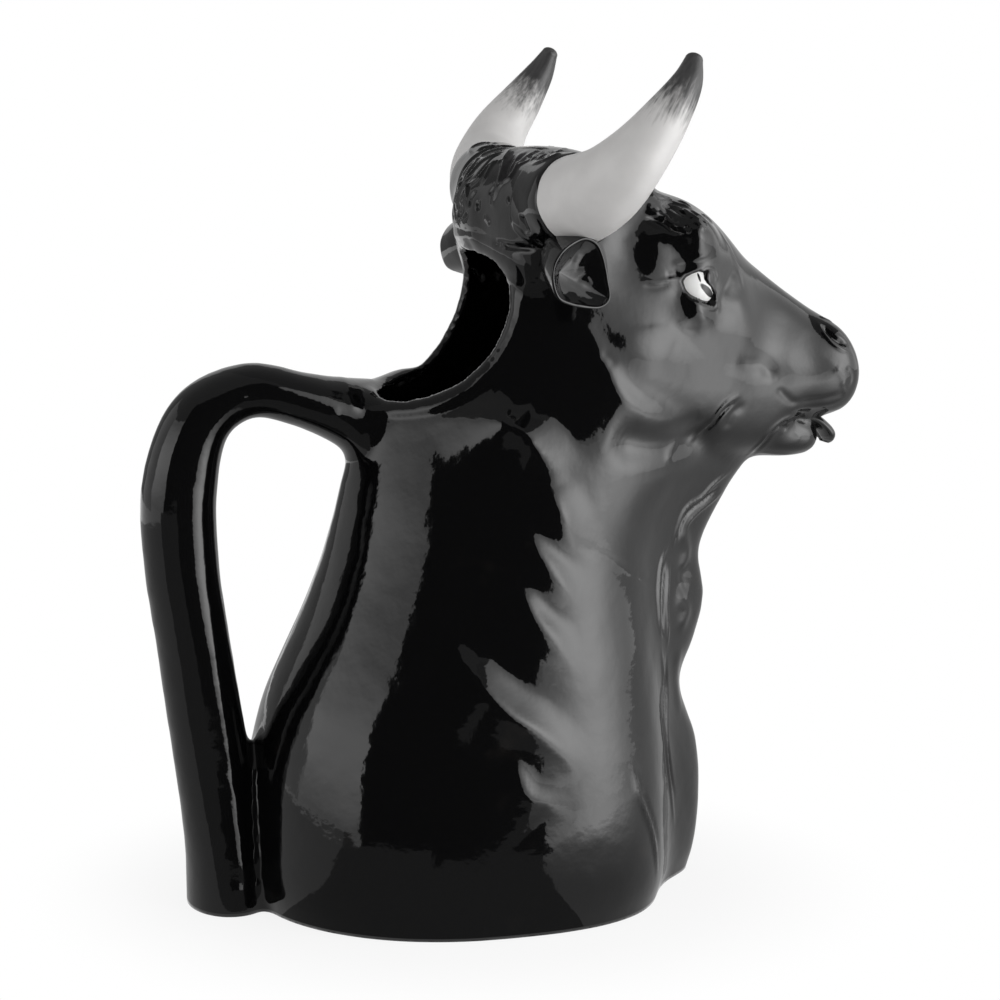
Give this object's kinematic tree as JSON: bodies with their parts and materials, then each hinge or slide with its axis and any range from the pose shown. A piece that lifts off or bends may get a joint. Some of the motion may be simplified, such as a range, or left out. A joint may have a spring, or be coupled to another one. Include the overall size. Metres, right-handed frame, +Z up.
{
  "type": "bull-shaped jug",
  "caption": "Glazed earthenware pouring jug shaped as a bull's head, neck and chest, filled through a notch behind the poll and poured through the mouth, with a loop handle.",
  "frame": {"origin": "middle of the vessel's flat foot, on the surface that the jug stands on", "axes": "+X the way the bull faces, +Y its left side, +Z up"},
  "size_m": [0.2434, 0.1704, 0.2763],
  "materials": {
    "black_glaze": "glossy",
    "ivory_glaze": "satin",
    "eye_glaze": "glossy"
  },
  "bodies": {
    "root": {"vessel": "black_glaze", "head": "black_glaze", "handle": "black_glaze", "poll_hair": "black_glaze", "lower_jaw": "black_glaze", "tongue": "black_glaze", "ear_left": "black_glaze", "ear_right": "black_glaze", "horn_left": "ivory_glaze", "horn_right": "ivory_glaze", "eye_left": "eye_glaze", "eye_right": "eye_glaze"}
  },
  "joints": []
}
